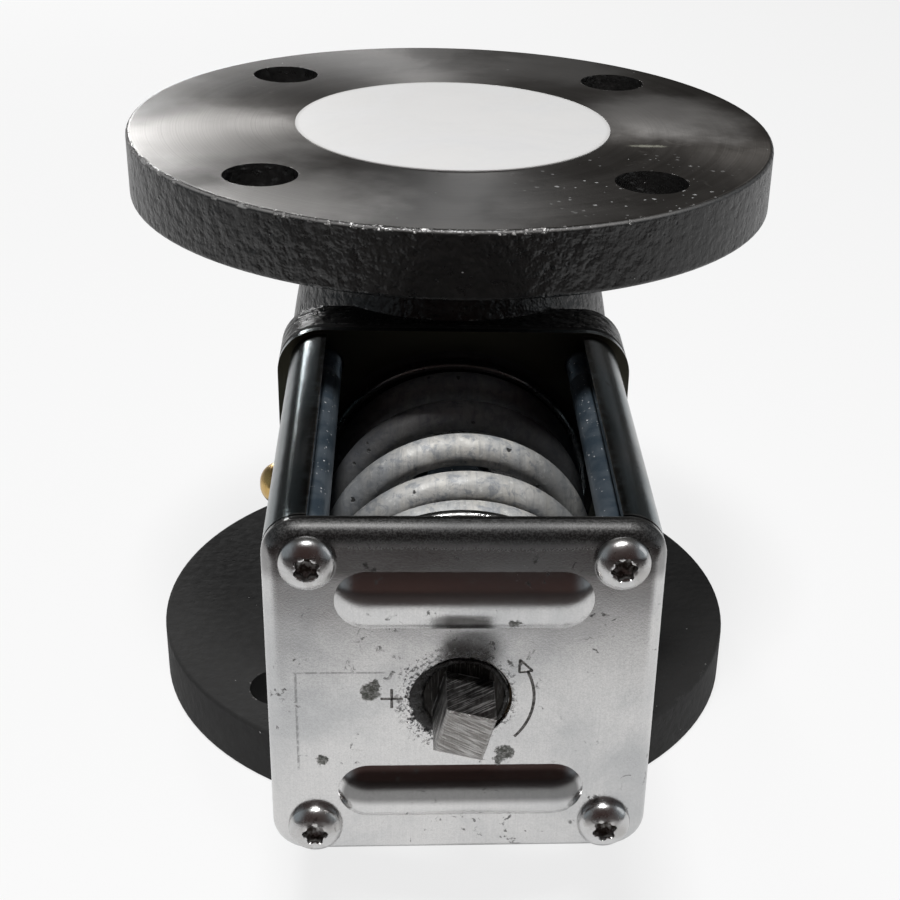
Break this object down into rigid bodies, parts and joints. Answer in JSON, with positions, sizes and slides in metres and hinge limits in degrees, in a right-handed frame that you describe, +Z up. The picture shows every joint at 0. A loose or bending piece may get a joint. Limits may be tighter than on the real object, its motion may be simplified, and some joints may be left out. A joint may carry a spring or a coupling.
{
  "type": "water regulating valve",
  "caption": "Flanged globe valve with an open spring cage and square adjusting screw on one side and a bellows cup on the other, for regulating condenser water flow.",
  "frame": {"origin": "centre of the bottom flange's face, on the pipe axis", "axes": "+Z up the pipe axis from the bottom flange to the top flange; the stem lies along Y, cage towards -Y and bellows towards +Y"},
  "size_m": [0.1778, 0.305, 0.1729],
  "materials": {
    "black_cast_iron": "rough cast, painted black; machined faces brown-grey",
    "zinc_sheet": "bright zinc plate with stains",
    "zinc_screw": "zinc plate",
    "grey_spring": "satin grey coating",
    "plate_steel": "dark plated steel",
    "bare_steel": "bare drawn steel",
    "stainless": "ground",
    "brass": "turned, slightly tarnished",
    "bronze": "turned",
    "black_rubber": "matte",
    "white_label": "slightly glossy film"
  },
  "bodies": {
    "root": {"valve_body": "black_cast_iron", "seat_ring": "bronze", "front_diaphragm": "black_rubber", "cage": "zinc_sheet", "cage_screws": "zinc_screw", "range_spring": "grey_spring", "thrust_washer": "brass", "rear_diaphragm": "black_rubber", "guide_plate": "black_cast_iron", "guide_bush": "bronze", "stem_seal": "black_rubber", "bellows_ring": "brass", "bellows": "brass", "cup_gasket": "black_rubber", "bellows_cup": "zinc_sheet", "cup_screws": "zinc_screw", "flare_connector": "brass", "vent_plug": "brass", "vent_plug_washer": "black_rubber"},
    "stem_assembly": {"valve_stem": "stainless", "valve_disc": "black_rubber", "disc_holder": "bronze", "disc_retainer": "bronze", "disc_nut": "bronze", "front_diaphragm_washer": "bronze", "lower_spring_plate": "plate_steel", "lower_plate_nut": "zinc_screw", "rear_diaphragm_washer": "bronze", "rear_clamp_washer": "bronze", "bellows_cap": "brass"},
    "adjusting_screw": {"adjusting_screw": "bare_steel"},
    "upper_plate": {"upper_spring_plate": "plate_steel", "plate_nut": "brass"},
    "label": {"protective_label": "white_label"}
  },
  "joints": [
    {"name": "valve_lift", "type": "slide", "parent": "root", "child": "stem_assembly", "axis": [0, -1, 0], "range_m": [0, 0.01], "stiffness_N_per_m": 8000, "springref_m": -0.01, "deforming": ["range_spring", "front_diaphragm", "rear_diaphragm", "bellows"]},
    {"name": "adjusting_turn", "type": "hinge", "parent": "root", "child": "adjusting_screw", "pos_m": [0, -0.1536, 0.08625], "axis": [0, -1, 0], "range_deg": [-900, 3600]},
    {"name": "plate_travel", "type": "slide", "parent": "root", "child": "upper_plate", "axis": [0, 1, 0], "range_m": [-0.0049, 0.0196], "deforming": ["range_spring"]},
    {"name": "label_lift", "type": "slide", "parent": "root", "child": "label", "axis": [0, 0, 1], "range_m": [0, 0.15]}
  ],
  "couplings": [
    {"joint": "plate_travel", "follows": "adjusting_turn", "m_per_rad": 0.00031099}
  ]
}
